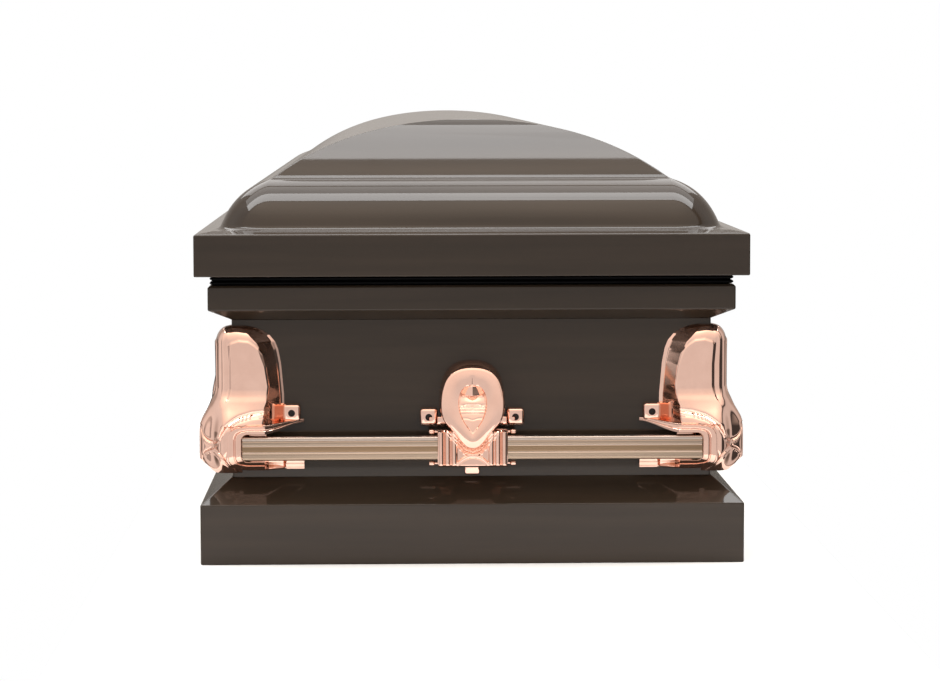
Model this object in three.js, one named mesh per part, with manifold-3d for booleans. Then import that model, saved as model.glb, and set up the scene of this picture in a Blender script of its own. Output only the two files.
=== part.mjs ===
// Steel funeral casket with plated corner castings, lugs and carrying bars.
// Millimetres. X runs across, Y along the length, Z up; the origin is under the middle, on the ground.

import * as THREE from 'three';
import { mergeVertices } from 'three/addons/utils/BufferGeometryUtils.js';
import Module from 'manifold-3d';

const wasm = await Module();
wasm.setup();

// Overall size, taken over the lid rim
const LENGTH = 2134;
const WIDTH = 711;
const RIM_X = WIDTH / 2;
const RIM_Y = LENGTH / 2;

// Sheet steel, and the gap left between neighbouring pieces
const SHEET = 1.2;
const GAP = 0.3;

// How far each band lies behind the lid rim
const BASE_INSET = 5.5;
const MOLDING_INSET = 16.5;
const GASKET_INSET = 19;
const WALL_INSET = 45.5;
const WALL_X = RIM_X - WALL_INSET;
const WALL_Y = RIM_Y - WALL_INSET;

// Heights of the box
const BOTTOM_Z = 20;
const BASE_BAND_TOP = 77;
const BASE_SLOPE_TOP = 109;
const BASE_FLANGE = 26;
const WALL_TOP = 313;
const MOLDING_SLOPE_TOP = 327;
const MOLDING_BAND_TOP = 356;
const MOLDING_TOP = 359;
const MOLDING_LIP = 3;
const MOLDING_FLANGE = 21;
const GASKET_WIDTH = 14;

// Lid
const RIM_BOTTOM = 371;
const RIM_TOP = 425;
const RIM_FLANGE = 24;
const LEDGE_DEPTH = 29;
const LEDGE_TOP = 430;
const OGEE_DEPTH = 95;
const OGEE_TOP = 493;
const OGEE_PULL = new THREE.Vector2(47, 480);
const OGEE_STEPS = 6;
const OGEE_CORNER_STEPS = 3;
const CROWN_TOP = 570;
const CROWN_FLATNESS = 0.28;
const CROWN_STEPS = 8;
const CREST_PULL = 156;
const CREST_INSET = 180;

// Carrying bars
const BAR_TALL = 31;
const BAR_THICK = 14;
const BAR_ROUND = 3;
const BAR_Z = 150;
const BAR_STANDOFF = 34.5;
const FLUTE_DEPTH = 1;
const FLUTE_COUNT = 4;

// Corner castings, measured from the upright corner of the walls
const LEG_BOTTOM = 178;
const LEG_TOP = 306;
const LEG_LEVELS = 10;
const LEG_REACH = 19;
const LEG_LENGTH = 67;
const HEAD_TALL = 20;
const HEAD_ROUND = 34;
const HEAD_LENGTH = 20;
const PETAL_BEVEL = 17;
const GROOVE_DEPTH = 3;
const FLARE_TOP = 228;
const FLARE_BOTTOM = 170;
const FOOT_REACH = 43.5;
const FOOT_TOP = 182;
const FOOT_BOTTOM = 117;
const FOOT_LEVELS = 7;
const FOOT_UNDERCUT = 30;
const FOOT_TUCK = 22;
const FOOT_ROUND = 34;
const ARC_STEPS = 5;
const SOCKET_START = 14;
const SOCKET_LIP_END = 43;
const SOCKET_LENGTH = 93;
const SOCKET_BACK = 3;
const SOCKET_FLOOR = 133;
const SOCKET_ROOF = 168.5;
const BOSS_SIDE = 23;
const BOSS_DEPTH = 13;
const BOSS_HOLE = 8.5;
const BOSS_HOLE_DEPTH = 7;
const CORNER_BOSS_X = 77;
const CORNER_BOSS_Z = 193;

// Lugs, measured from the wall behind them
const LUG_TOP = 258;
const LUG_TIP = 147;
const LUG_WIDEST_Z = 212;
const LUG_HALF_WIDTH = 42;
const LUG_REACH = 50;
const LUG_TOP_REACH = 31;
const LUG_OUTLINE_STEPS = 7;
const LUG_DEPTHS = [[0, 1], [0.6, 0.98], [0.82, 0.9], [0.94, 0.78], [1, 0.62]];
const LUG_DISH = new THREE.Vector3(18, 13, 30);
const LUG_DISH_Z = 208;
const CLAMP_HALF_WIDTH = 45;
const CLAMP_BACK = 23;
const CLAMP_FRONT = 47;
const CLAMP_BOTTOM = 127;
const CLAMP_TOP = 173;
const CLAMP_RIBS = 3;
const CLAMP_RIB_WIDTH = 8;
const CLAMP_RIB_DEPTH = 3;
const ARM_HALF_WIDTH = 27;
const ARM_TOP = 186;
const LUG_BOSS_X = 56;
const LUG_BOSS_Z = 187;
const TAB_WIDTH = 20;
const TAB_BOTTOM = 111;
const SIDE_LUG_SPACING = 640;

// Finishes
const PAINT = { color: 0x3d332c, roughness: 0.25, metalness: 0.4 };
const PLATING = { color: 0xd9a58c, roughness: 0.12, metalness: 1 };
const SATIN = { color: 0xb3977a, roughness: 0.35, metalness: 1 };
const RUBBER = { color: 0x0a0a0b, roughness: 0.7, metalness: 0 };

const casket = new THREE.Group();

// A closed mesh from corner points and triangles, turned so that its faces point outwards
function closedGeometry(points, triangles) {
  const geometry = new THREE.BufferGeometry();
  geometry.setAttribute('position', new THREE.Float32BufferAttribute(points.flat(), 3));
  geometry.setIndex(triangles.flat());
  const merged = mergeVertices(geometry, 1e-4);
  const place = merged.getAttribute('position');
  const corner = [0, 1, 2].map(() => new THREE.Vector3());
  const kept = [];
  let volume = 0;
  for (let i = 0; i < merged.index.count; i += 3) {
    const triple = [0, 1, 2].map((k) => merged.index.getX(i + k));
    if (new Set(triple).size < 3) continue;
    triple.forEach((vertex, k) => corner[k].fromBufferAttribute(place, vertex));
    volume += corner[0].dot(corner[1].clone().cross(corner[2]));
    kept.push(triple);
  }
  merged.setIndex(kept.map((triple) => (volume < 0 ? [triple[0], triple[2], triple[1]] : triple)).flat());
  return merged;
}

function toSolid(geometry) {
  const bare = geometry.index ? geometry.clone() : geometry;
  bare.deleteAttribute('normal');
  bare.deleteAttribute('uv');
  const merged = mergeVertices(bare, 1e-4);
  const vertProperties = new Float32Array(merged.getAttribute('position').array);
  const triVerts = new Uint32Array(merged.index.array);
  return new wasm.Manifold(new wasm.Mesh({ numProp: 3, vertProperties, triVerts }));
}

function fromSolid(solid) {
  const mesh = solid.getMesh();
  const geometry = new THREE.BufferGeometry();
  geometry.setAttribute('position', new THREE.BufferAttribute(new Float32Array(mesh.vertProperties), 3));
  geometry.setIndex(Array.from(mesh.triVerts));
  return geometry;
}

function addPiece(name, geometry, finish, turn = 0, place = [0, 0, 0]) {
  geometry.computeVertexNormals();
  const mesh = new THREE.Mesh(geometry, new THREE.MeshStandardMaterial(finish));
  mesh.name = name;
  mesh.rotation.z = turn;
  mesh.position.set(...place);
  casket.add(mesh);
}

// A solid through outlines of equal point count, each at its own height
function loft(sections, heights) {
  const count = sections[0].length;
  const points = sections.flatMap((section, level) => section.map(([x, y]) => [x, y, heights[level]]));
  const triangles = [];
  for (let level = 0; level + 1 < sections.length; level += 1) {
    for (let k = 0; k < count; k += 1) {
      const low = level * count + k;
      const lowNext = level * count + (k + 1) % count;
      triangles.push([low, lowNext, lowNext + count], [low, lowNext + count, low + count]);
    }
  }
  const area = THREE.ShapeUtils.area(sections[0].map(([x, y]) => new THREE.Vector2(x, y)));
  [0, sections.length - 1].forEach((level) => {
    const outline = sections[level].map(([x, y]) => new THREE.Vector2(x, y));
    const facesUp = level > 0;
    THREE.ShapeUtils.triangulateShape(outline, []).forEach(([a, b, c]) => {
      const first = level * count;
      const turned = facesUp === area > 0;
      triangles.push(turned ? [first + a, first + b, first + c] : [first + a, first + c, first + b]);
    });
  });
  return closedGeometry(points, triangles);
}

// A block between two corners
function block(low, high) {
  const size = high.map((value, axis) => value - low[axis]);
  const middle = high.map((value, axis) => (value + low[axis]) / 2);
  return new THREE.BoxGeometry(...size).translate(...middle);
}

// One straight mitred length of a band; the profile gives inset from the outer face, and height
function mitredLength(profile, halfLength, halfAcross) {
  const ends = [-1, 1].map((side) => profile.map(([inset, z]) => {
    const x = side * (halfLength - inset - GAP / 2);
    return [x, -(halfAcross - inset), z];
  }));
  const count = profile.length;
  const points = ends.flat();
  const triangles = [];
  for (let k = 0; k < count; k += 1) {
    const next = (k + 1) % count;
    triangles.push([k, next, count + next], [k, count + next, count + k]);
  }
  const outline = profile.map(([inset, z]) => new THREE.Vector2(inset, z));
  const turned = THREE.ShapeUtils.area(outline) > 0;
  THREE.ShapeUtils.triangulateShape(outline, []).forEach(([a, b, c]) => {
    const near = turned ? [a, c, b] : [a, b, c];
    const far = turned ? [a, b, c] : [a, c, b];
    triangles.push(near, far.map((k) => count + k));
  });
  return closedGeometry(points, triangles);
}

// The four lengths of a band, turned onto the front, right, back and left of the box
function addBand(name, profile, halfX, halfY) {
  ['front', 'right', 'back', 'left'].forEach((side, quarter) => {
    const alongX = quarter % 2 === 0;
    const geometry = mitredLength(profile, alongX ? halfX : halfY, alongX ? halfY : halfX);
    addPiece(`${name}_${side}`, geometry, PAINT, quarter * Math.PI / 2);
  });
}

// Sheet that follows a folded line: the line out, then back again one sheet thickness behind it
function foldedSheet(line, thickness) {
  const normals = line.slice(1).map(([x, z], k) => {
    const run = new THREE.Vector2(x - line[k][0], z - line[k][1]).normalize();
    return new THREE.Vector2(-run.y, run.x);
  });
  const back = line.map(([x, z], k) => {
    const before = normals[Math.max(k - 1, 0)];
    const after = normals[Math.min(k, normals.length - 1)];
    const miter = before.clone().add(after).normalize();
    const reach = thickness / miter.dot(before);
    return [x + miter.x * reach, z + miter.y * reach];
  });
  return [...line, ...back.reverse()];
}

// The four corners of a rectangle, each turned in steps round its own radius
function roundedRectangle(x, y, z, radius, steps) {
  const corners = [[-1, -1], [1, -1], [1, 1], [-1, 1]];
  return corners.flatMap(([sx, sy], quarter) => Array.from({ length: steps + 1 }, (_, step) => {
    const angle = Math.PI * (1 + (quarter + step / Math.max(steps, 1)) / 2);
    return [sx * (x - radius) + radius * Math.cos(angle), sy * (y - radius) + radius * Math.sin(angle), z];
  }));
}

// A surface swept round the rectangle: each point has its own half width, half length and corner radius
function sweepRectangle(path, closed, cornerSteps = 0) {
  const count = 4 * (cornerSteps + 1);
  const points = path.flatMap(([x, y, z, radius = 0]) => roundedRectangle(x, y, z, radius, cornerSteps));
  const triangles = [];
  const spans = closed ? path.length : path.length - 1;
  for (let level = 0; level < spans; level += 1) {
    const above = (level + 1) % path.length;
    for (let k = 0; k < count; k += 1) {
      const next = (k + 1) % count;
      triangles.push([level * count + k, level * count + next, above * count + next]);
      triangles.push([level * count + k, above * count + next, above * count + k]);
    }
  }
  return closedGeometry(points, triangles);
}

// Bottom, walls and the two bands
function addBox() {
  const floorX = WALL_X - SHEET - GAP;
  const floorY = WALL_Y - SHEET - GAP;
  const floor = block([-floorX, -floorY, BOTTOM_Z], [floorX, floorY, BOTTOM_Z + SHEET]);
  addPiece('bottom_panel', floor, PAINT);

  const wall = [[0, BOTTOM_Z], [SHEET, BOTTOM_Z], [SHEET, WALL_TOP], [0, WALL_TOP]];
  addBand('wall_panel', wall, WALL_X, WALL_Y);

  const baseX = RIM_X - BASE_INSET;
  const baseY = RIM_Y - BASE_INSET;
  const shoulder = WALL_INSET - BASE_INSET - SHEET - GAP;
  const base = [[BASE_FLANGE, 0], [0, 0], [0, BASE_BAND_TOP], [shoulder, BASE_SLOPE_TOP]];
  addBand('base_molding', foldedSheet(base.reverse(), SHEET), baseX, baseY);

  const moldingX = RIM_X - MOLDING_INSET;
  const moldingY = RIM_Y - MOLDING_INSET;
  const wallInset = WALL_INSET - MOLDING_INSET;
  const molding = [
    [wallInset + SHEET, WALL_TOP + GAP],
    [wallInset, WALL_TOP + GAP],
    [0, MOLDING_SLOPE_TOP],
    [0, MOLDING_BAND_TOP],
    [MOLDING_LIP, MOLDING_TOP],
    [MOLDING_FLANGE, MOLDING_TOP],
  ];
  addBand('body_molding', foldedSheet(molding.reverse(), SHEET), moldingX, moldingY);
}

// Rubber seal between the body moulding and the lid rim, rounded on its outer face
function addGasket() {
  const low = MOLDING_TOP + GAP;
  const high = RIM_BOTTOM - GAP;
  const middle = (low + high) / 2;
  const bulge = 3;
  const profile = [[bulge, low], [0, middle], [bulge, high], [GASKET_WIDTH, high], [GASKET_WIDTH, low]];
  const path = profile.map(([inset, z]) => [RIM_X - GASKET_INSET - inset, RIM_Y - GASKET_INSET - inset, z]);
  addPiece('gasket', sweepRectangle(path, true), RUBBER);
}

// How far the end of the crown lies behind the rim at a height: a curve that ends level at the crest
function crownEndInset(z) {
  const k = 1 - Math.sqrt((CROWN_TOP - z) / (CROWN_TOP - OGEE_TOP));
  return (1 - k) ** 2 * OGEE_DEPTH + 2 * k * (1 - k) * CREST_PULL + k ** 2 * CREST_INSET;
}

// One pressed shell: rim with an inward flange, ledge, ogee turned round the corners, and a bowed crown
function addLid() {
  const outer = [[RIM_X, RIM_Y, RIM_BOTTOM, 0], [RIM_X, RIM_Y, RIM_TOP, 0]];
  const ledge = new THREE.Vector2(LEDGE_DEPTH, LEDGE_TOP);
  const ogeeEnd = new THREE.Vector2(OGEE_DEPTH, OGEE_TOP);
  const ogee = new THREE.QuadraticBezierCurve(ledge, OGEE_PULL, ogeeEnd).getPoints(OGEE_STEPS);
  ogee.forEach(({ x, y }) => outer.push([RIM_X - x, RIM_Y - x, y, OGEE_DEPTH - x]));
  for (let step = 1; step <= CROWN_STEPS; step += 1) {
    const across = 1 - step / CROWN_STEPS;
    const bow = (1 - CROWN_FLATNESS) * across ** 2 + CROWN_FLATNESS * across ** 4;
    const z = CROWN_TOP - (CROWN_TOP - OGEE_TOP) * bow;
    outer.push([(RIM_X - OGEE_DEPTH) * across, RIM_Y - crownEndInset(z), z, 0]);
  }
  const inner = outer.slice(1).map(([x, y, z, radius]) => (
    [Math.max(x - SHEET, 0), y - SHEET, z - SHEET, Math.max(radius - SHEET, 0)]));
  const flange = [
    [RIM_X - SHEET, RIM_Y - SHEET, RIM_BOTTOM + SHEET, 0],
    [RIM_X - RIM_FLANGE, RIM_Y - RIM_FLANGE, RIM_BOTTOM + SHEET, 0],
    [RIM_X - RIM_FLANGE, RIM_Y - RIM_FLANGE, RIM_BOTTOM, 0],
  ];
  const path = [...outer.reverse(), ...flange.reverse(), ...inner];
  addPiece('lid', sweepRectangle(path, false, OGEE_CORNER_STEPS), PAINT);
}

// Bar section: a tall rounded bar with shallow flutes along both faces, lying along X
function barGeometry(length) {
  const flat = BAR_TALL - 2 * BAR_ROUND;
  const pitch = flat / FLUTE_COUNT;
  const right = [[BAR_THICK / 2 - BAR_ROUND, -BAR_TALL / 2]];
  for (let flute = 0; flute < FLUTE_COUNT; flute += 1) {
    const start = -flat / 2 + flute * pitch;
    right.push([BAR_THICK / 2, start], [BAR_THICK / 2 - FLUTE_DEPTH, start + pitch / 2]);
  }
  right.push([BAR_THICK / 2, flat / 2], [BAR_THICK / 2 - BAR_ROUND, BAR_TALL / 2]);
  const left = right.map(([x, y]) => [-x, -y]);
  const section = [...right, ...left];
  const bar = loft([section, section], [-length / 2, length / 2]);
  return bar.rotateX(Math.PI / 2).rotateZ(Math.PI / 2);
}

function addBars() {
  ['front', 'right', 'back', 'left'].forEach((side, quarter) => {
    const onEnd = quarter % 2 === 0;
    const length = 2 * ((onEnd ? WALL_X : WALL_Y) - SOCKET_START - GAP);
    const bar = barGeometry(length).translate(0, -(onEnd ? WALL_Y : WALL_X) - BAR_STANDOFF, BAR_Z);
    addPiece(`bar_${side}`, bar, SATIN, quarter * Math.PI / 2);
  });
}

// Stand-off of a corner casting's outer ridge at a height
function footReach(z) {
  const flare = THREE.MathUtils.smoothstep(FLARE_TOP + FLARE_BOTTOM - z, FLARE_BOTTOM, FLARE_TOP);
  const reach = THREE.MathUtils.lerp(LEG_REACH, FOOT_REACH, flare);
  const under = Math.max(FOOT_BOTTOM + FOOT_UNDERCUT - z, 0) / FOOT_UNDERCUT;
  return reach - FOOT_TUCK * under ** 2;
}

// Round quarter turn from the end wall's side of the corner to the side wall's
function cornerArc(reach, radius) {
  return Array.from({ length: ARC_STEPS + 1 }, (_, step) => {
    const angle = Math.PI * (1.5 - 0.5 * step / ARC_STEPS);
    const centre = radius - reach;
    return [centre + radius * Math.cos(angle), centre + radius * Math.sin(angle)];
  });
}

// A plan outline that hugs both walls, the same on each side of the corner's diagonal
function cornerOutline(alongEndWall, arc) {
  const alongSideWall = alongEndWall.map(([a, b]) => [b, a]).reverse();
  return [...alongEndWall, ...arc, ...alongSideWall, [-GAP, -GAP]];
}

function legSection(z) {
  const dome = Math.max(z - (LEG_TOP - HEAD_TALL), 0) / HEAD_TALL;
  const rounding = Math.max(z - (LEG_TOP - HEAD_ROUND), 0) / HEAD_ROUND;
  const reach = Math.max(footReach(z) * Math.sqrt(1 - dome ** 2), 2);
  const length = HEAD_LENGTH + (LEG_LENGTH - HEAD_LENGTH) * Math.sqrt(1 - rounding ** 2);
  const edge = Math.min(reach, LEG_REACH);
  const petalEnd = length - PETAL_BEVEL * edge / LEG_REACH;
  const groove = Math.min(GROOVE_DEPTH, reach / 4);
  const alongEndWall = [[length, -GAP], [petalEnd, -edge], [groove, -reach], [groove / 2, -reach + groove]];
  return cornerOutline(alongEndWall, cornerArc(reach, reach));
}

function footSection(z) {
  const reach = footReach(z);
  const alongEndWall = [
    [SOCKET_LENGTH, -GAP],
    [SOCKET_LENGTH, -SOCKET_BACK - GAP],
    [SOCKET_LIP_END, -reach + 1],
    [SOCKET_START, -reach],
  ];
  return cornerOutline(alongEndWall, cornerArc(reach, Math.min(FOOT_ROUND, reach)));
}

function loftLevels(section, low, high, levels) {
  const heights = Array.from({ length: levels + 1 }, (_, k) => low + (high - low) * k / levels);
  return toSolid(loft(heights.map(section), heights));
}

// Square screw boss standing on a wall, with a blind hole in its outer face
function bossSolid(place, turn = 0) {
  const half = BOSS_SIDE / 2;
  const body = block([-half, -BOSS_DEPTH, -half], [half, -GAP, half]);
  const hole = new THREE.CylinderGeometry(BOSS_HOLE / 2, BOSS_HOLE / 2, 2 * BOSS_HOLE_DEPTH, 8);
  hole.translate(0, -BOSS_DEPTH, 0);
  const solids = [body, hole].map((geometry) => toSolid(geometry.rotateZ(turn).translate(...place)));
  return solids[0].subtract(solids[1]);
}

// The casting at the front left corner: leg with a petal on each wall, flared foot, two bar sockets
function cornerCastingGeometry() {
  const leg = loftLevels(legSection, LEG_BOTTOM, LEG_TOP, LEG_LEVELS);
  const foot = loftLevels(footSection, FOOT_BOTTOM, FOOT_TOP, FOOT_LEVELS);
  const reach = 2 * FOOT_REACH;
  const pocketLow = [SOCKET_START, -reach, SOCKET_FLOOR];
  const pocketHigh = [SOCKET_LENGTH + reach, -SOCKET_BACK, SOCKET_ROOF];
  const pocket = block(pocketLow, pocketHigh);
  const otherPocket = block(
    [pocketLow[1], pocketLow[0], pocketLow[2]],
    [pocketHigh[1], pocketHigh[0], pocketHigh[2]],
  );
  const boss = bossSolid([CORNER_BOSS_X, 0, CORNER_BOSS_Z]);
  const otherBoss = bossSolid([0, CORNER_BOSS_X, CORNER_BOSS_Z], -Math.PI / 2);
  const sockets = foot.subtract(toSolid(pocket)).subtract(toSolid(otherPocket));
  return fromSolid(sockets.add(leg).add(boss).add(otherBoss));
}

function addCornerCastings() {
  const names = ['front_left', 'front_right', 'back_right', 'back_left'];
  const signs = [[-1, -1], [1, -1], [1, 1], [-1, 1]];
  const geometry = cornerCastingGeometry();
  names.forEach((name, quarter) => {
    const place = [signs[quarter][0] * WALL_X, signs[quarter][1] * WALL_Y, 0];
    addPiece(`corner_casting_${name}`, geometry.clone(), PLATING, quarter * Math.PI / 2, place);
  });
}

// Drop-shaped outline of a lug: round above its widest level, drawn to a blunt tip below
function lugOutline(scale) {
  const half = [];
  for (let step = 0; step <= LUG_OUTLINE_STEPS; step += 1) {
    const angle = Math.PI / 2 * (1 - step / LUG_OUTLINE_STEPS);
    half.push([LUG_HALF_WIDTH * Math.cos(angle), (LUG_TOP - LUG_WIDEST_Z) * Math.sin(angle)]);
  }
  for (let step = 1; step <= LUG_OUTLINE_STEPS; step += 1) {
    const down = step / LUG_OUTLINE_STEPS;
    half.push([LUG_HALF_WIDTH * (1 - 0.9 * down ** 1.7), (LUG_TIP - LUG_WIDEST_Z) * down]);
  }
  const otherHalf = half.slice(1).map(([x, z]) => [-x, z]).reverse();
  return [...half, ...otherHalf].map(([x, z]) => [scale * x, LUG_WIDEST_Z + scale * z]);
}

// Shield of a lug: the outline carried out from the wall, further at the tip than at the top
function lugShield() {
  const sections = LUG_DEPTHS.map(([, scale]) => lugOutline(scale));
  const depths = LUG_DEPTHS.map(([depth]) => depth);
  const shield = loft(sections, depths).rotateX(Math.PI / 2);
  const place = shield.getAttribute('position');
  for (let k = 0; k < place.count; k += 1) {
    const z = place.getZ(k);
    const reach = THREE.MathUtils.mapLinear(z, LUG_TOP, LUG_TIP, LUG_TOP_REACH, LUG_REACH);
    place.setY(k, place.getY(k) * (reach - GAP) - GAP);
  }
  return toSolid(shield);
}

// Clamp that wraps the bar, with upright ribs at both ends of its front
function lugClamp() {
  const half = [];
  for (let rib = 0; rib < CLAMP_RIBS; rib += 1) {
    const outside = CLAMP_HALF_WIDTH - rib * CLAMP_RIB_WIDTH;
    half.push([outside, -CLAMP_FRONT + CLAMP_RIB_DEPTH]);
    half.push([outside - 0.3 * CLAMP_RIB_WIDTH, -CLAMP_FRONT]);
    half.push([outside - 0.7 * CLAMP_RIB_WIDTH, -CLAMP_FRONT]);
  }
  half.push([CLAMP_HALF_WIDTH - CLAMP_RIBS * CLAMP_RIB_WIDTH, -CLAMP_FRONT + CLAMP_RIB_DEPTH]);
  const otherHalf = half.map(([x, y]) => [-x, y]).reverse();
  const back = [[-CLAMP_HALF_WIDTH, -CLAMP_BACK], [CLAMP_HALF_WIDTH, -CLAMP_BACK]];
  const outline = [...half, ...otherHalf, ...back];
  return toSolid(loft([outline, outline], [CLAMP_BOTTOM, CLAMP_TOP]));
}

// A lug on the front wall: shield with a hollow dish, clamp, arm to the wall, screw bosses and tab
function lugGeometry() {
  const dish = new THREE.SphereGeometry(1, 10, 6).scale(LUG_DISH.x, LUG_DISH.y, LUG_DISH.z);
  const dishReach = THREE.MathUtils.mapLinear(LUG_DISH_Z, LUG_TOP, LUG_TIP, LUG_TOP_REACH, LUG_REACH);
  dish.translate(0, -dishReach, LUG_DISH_Z);
  const arm = block([-ARM_HALF_WIDTH, -CLAMP_FRONT + CLAMP_RIB_DEPTH, CLAMP_BOTTOM],
    [ARM_HALF_WIDTH, -GAP, ARM_TOP]);
  const tab = block([-TAB_WIDTH / 2, -BOSS_DEPTH, TAB_BOTTOM], [TAB_WIDTH / 2, -GAP, CLAMP_BOTTOM + 1]);
  const clear = BAR_THICK / 2 + GAP;
  const channel = block(
    [-2 * LUG_HALF_WIDTH, -BAR_STANDOFF - clear, BAR_Z - BAR_TALL / 2 - GAP],
    [2 * LUG_HALF_WIDTH, -BAR_STANDOFF + clear, BAR_Z + BAR_TALL / 2 + GAP],
  );
  const link = block([-LUG_BOSS_X, -BOSS_DEPTH / 2, LUG_BOSS_Z - BOSS_SIDE / 2],
    [LUG_BOSS_X, -GAP, LUG_BOSS_Z]);
  const body = lugShield().subtract(toSolid(dish)).add(lugClamp()).add(toSolid(arm)).add(toSolid(tab));
  const bosses = bossSolid([-LUG_BOSS_X, 0, LUG_BOSS_Z])
    .add(bossSolid([LUG_BOSS_X, 0, LUG_BOSS_Z]))
    .add(toSolid(link));
  return fromSolid(body.add(bosses).subtract(toSolid(channel)));
}

function addLugs() {
  const geometry = lugGeometry();
  ['front', 'right', 'back', 'left'].forEach((side, quarter) => {
    const onEnd = quarter % 2 === 0;
    const places = onEnd ? [0] : [-SIDE_LUG_SPACING, 0, SIDE_LUG_SPACING];
    places.forEach((along, number) => {
      const lug = geometry.clone().translate(along, -(onEnd ? WALL_Y : WALL_X), 0);
      const name = onEnd ? `lug_${side}` : `lug_${side}_${number + 1}`;
      addPiece(name, lug, PLATING, quarter * Math.PI / 2);
    });
  });
}

addBox();
addGasket();
addLid();
addBars();
addCornerCastings();
addLugs();

export default casket;
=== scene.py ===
"""Steel funeral casket with rose-gold hardware: its surfaces and finishes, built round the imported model."""

import math

import bmesh
import bpy
from mathutils import Matrix, Vector


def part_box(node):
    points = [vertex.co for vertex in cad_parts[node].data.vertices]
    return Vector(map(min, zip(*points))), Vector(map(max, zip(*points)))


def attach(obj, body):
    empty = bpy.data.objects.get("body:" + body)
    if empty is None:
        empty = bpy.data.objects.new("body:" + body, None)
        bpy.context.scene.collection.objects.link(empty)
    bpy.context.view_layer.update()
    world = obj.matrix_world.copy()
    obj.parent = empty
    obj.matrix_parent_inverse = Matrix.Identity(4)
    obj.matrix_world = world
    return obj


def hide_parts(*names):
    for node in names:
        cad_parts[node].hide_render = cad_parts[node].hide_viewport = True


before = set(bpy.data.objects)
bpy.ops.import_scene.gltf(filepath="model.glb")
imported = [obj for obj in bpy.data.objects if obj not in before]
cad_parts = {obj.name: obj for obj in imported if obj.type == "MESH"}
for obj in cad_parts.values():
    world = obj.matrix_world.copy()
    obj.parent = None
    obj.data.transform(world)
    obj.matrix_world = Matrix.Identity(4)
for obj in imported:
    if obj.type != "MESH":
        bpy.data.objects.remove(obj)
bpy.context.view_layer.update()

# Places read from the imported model, in metres
RIM_X, RIM_Y, CROWN_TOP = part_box("lid")[1]
RIM_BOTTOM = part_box("lid")[0].z
WALL_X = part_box("wall_panel_right")[1].x
WALL_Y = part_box("wall_panel_back")[1].y
WALL_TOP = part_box("wall_panel_back")[1].z
BOTTOM_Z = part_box("bottom_panel")[0].z
BASE_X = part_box("base_molding_right")[1].x
BASE_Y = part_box("base_molding_back")[1].y
BASE_SLOPE_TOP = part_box("base_molding_back")[1].z
MOLDING_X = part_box("body_molding_right")[1].x
MOLDING_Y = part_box("body_molding_back")[1].y
MOLDING_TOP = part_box("body_molding_back")[1].z
GASKET_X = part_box("gasket")[1].x
GASKET_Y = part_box("gasket")[1].y
BAR_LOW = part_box("bar_front")[0]
BAR_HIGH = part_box("bar_front")[1]
SIDES = ("front", "right", "back", "left")
# Corners of the box with their side across and their side along
CORNERS = (("front_left", -1, -1), ("front_right", 1, -1), ("back_right", 1, 1), ("back_left", -1, 1))

# Sheet and general rounding
SHEET = 0.0012
GAP = 0.0003
FOLD = 0.002
CORNER_SEGMENTS = 3
SAME_PLACE = 1e-6

# Box
BOTTOM_MARGIN = 0.02
BASE_BAND_TOP = 0.077
BASE_FLANGE = 0.026
MOLDING_SLOPE_TOP = 0.327
MOLDING_BAND_TOP = 0.356
MOLDING_LIP = 0.003
MOLDING_FLANGE = 0.021
GASKET_WIDTH = 0.014
GASKET_LIP = 0.005
GASKET_CORNER = 0.004
GASKET_STEPS = 24
LIP_FULLNESS = 0.6

# Lid
RIM_TOP = 0.425
RIM_FLANGE = 0.024
RIM_ROUND = 0.003
LEDGE_DEPTH = 0.029
LEDGE_TOP = 0.430
LEDGE_FILLET = 0.006
OGEE_DEPTH = 0.095
OGEE_TOP = 0.493
OGEE_FOOT = (0.0345, 0.4453)
OGEE_PULL = (0.047, 0.480)
OGEE_STEPS = 22
CROWN_STEPS = 30
CROWN_FLATNESS = 0.28
CROWN_HIP = 0.0025
CREST_PULL = 0.160
CREST_INSET = 0.172
CREASE_REACH = 1
CREASE_STEPS = 6
LID_CORNER_STEPS = 12
LEAST_RISE = 0.001
RIDGE_HALF_WIDTH = 1e-7

# Camera, at the viewing angle of the photograph
CAMERA_PLACE = (-0.1004, -4.953, 0.6072)
CAMERA_PITCH = math.radians(4.68)
CAMERA_YAW = math.radians(1.44)
CAMERA_ROLL = math.radians(0.12)
CAMERA_LENS = 116.85
SENSOR_WIDTH = 36
SIGHT_LIMIT = 200


def clear_selection():
    if bpy.context.object and bpy.context.object.mode != "OBJECT":
        bpy.ops.object.mode_set(mode="OBJECT")
    bpy.ops.object.select_all(action="DESELECT")


def make_active(piece):
    clear_selection()
    piece.select_set(True)
    bpy.context.view_layer.objects.active = piece


def lerp(a, b, k):
    return a + (b - a) * k


def smooth(low, high, value):
    k = min(max((value - low) / (high - low), 0.0), 1.0)
    return k * k * (3 - 2 * k)


def bump(value, width):
    return math.exp(-(value / width) ** 2)


def through(points, value):
    """Straight-line reading of a curve given as rising (value, result) pairs."""
    if value <= points[0][0]:
        return points[0][1]
    for (low, first), (high, last) in zip(points, points[1:]):
        if value <= high:
            return lerp(first, last, (value - low) / (high - low))
    return points[-1][1]


def select_edges(test):
    mesh = bmesh.from_edit_mesh(bpy.context.object.data)
    bpy.ops.mesh.select_all(action="DESELECT")
    bpy.context.tool_settings.mesh_select_mode = (False, True, False)
    for edge in mesh.edges:
        edge.select = test(edge.verts[0].co, edge.verts[1].co)
    mesh.select_flush_mode()
    bmesh.update_edit_mesh(bpy.context.object.data)


def apply_modifier(piece, kind, **settings):
    make_active(piece)
    modifier = piece.modifiers.new(kind.title(), kind)
    for name, value in settings.items():
        setattr(modifier, name, value)
    bpy.ops.object.modifier_apply(modifier=modifier.name)


def smooth_shading(piece, degrees=32):
    make_active(piece)
    bpy.ops.object.shade_smooth_by_angle(angle=math.radians(degrees))


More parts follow.
